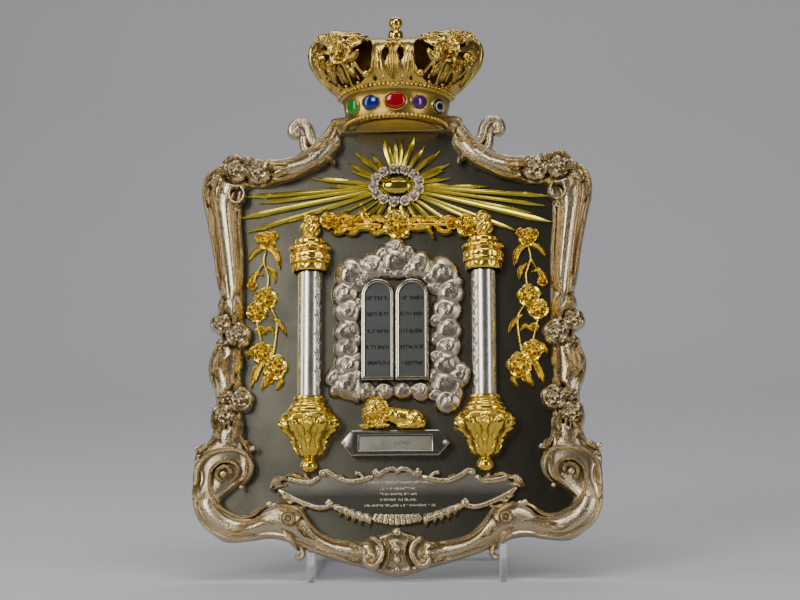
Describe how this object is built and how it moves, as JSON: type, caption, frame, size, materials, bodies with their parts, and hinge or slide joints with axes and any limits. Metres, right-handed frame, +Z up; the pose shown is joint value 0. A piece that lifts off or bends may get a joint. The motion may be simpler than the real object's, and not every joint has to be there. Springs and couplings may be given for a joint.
{
  "type": "torah shield",
  "caption": "Silver and gilt Torah shield with half-round crown, columns, tablets and lion in a scroll frame, leaning on a clear easel.",
  "frame": {"origin": "centre of the bounding box at the underside of the easel's feet", "axes": "+X to the viewer's right, +Y to the back, +Z up; the shield faces -Y and its top leans back by 12 degrees"},
  "size_m": [0.296, 0.15, 0.4124],
  "materials": {
    "silver": "cast silver, warm tarnish, burnished ribs",
    "bright_silver": "polished silver",
    "dark_silver": "dark brushed silver sheet",
    "cloud_silver": "matte cast silver",
    "slate_silver": "blackened silver with bright rim",
    "gilt": "rich gilding, polished",
    "pale_gilt": "pale gilding",
    "olive_gilt": "worn gilding with an olive tone",
    "green_stone": "polished cabochon",
    "blue_stone": "polished cabochon",
    "red_stone": "polished cabochon",
    "purple_stone": "polished cabochon",
    "black_stone": "polished cabochon",
    "acrylic": "clear acrylic"
  },
  "bodies": {
    "root": {"backplate": "dark_silver", "frame": "silver", "crown": "pale_gilt", "crown_back": "gilt", "finial": "gilt", "stone_green": "green_stone", "stone_blue": "blue_stone", "stone_red": "red_stone", "stone_purple": "purple_stone", "stone_black": "black_stone", "sunburst": "olive_gilt", "sunburst_boss": "olive_gilt", "rosette_wreath": "bright_silver", "garland": "gilt", "column_left_capital": "pale_gilt", "column_left_shaft": "bright_silver", "column_left_base": "pale_gilt", "column_right_capital": "pale_gilt", "column_right_shaft": "bright_silver", "column_right_base": "pale_gilt", "cloud_surround": "cloud_silver", "tablet_left": "slate_silver", "tablet_right": "slate_silver", "lion": "gilt", "tray": "bright_silver", "portion_plate": "bright_silver", "cartouche_plate": "bright_silver", "cartouche_border": "cloud_silver", "spray_left": "gilt", "spray_right": "gilt", "easel_left": "acrylic", "easel_right": "acrylic", "easel_rail_upper": "acrylic", "easel_rail_lower": "acrylic"}
  },
  "joints": []
}
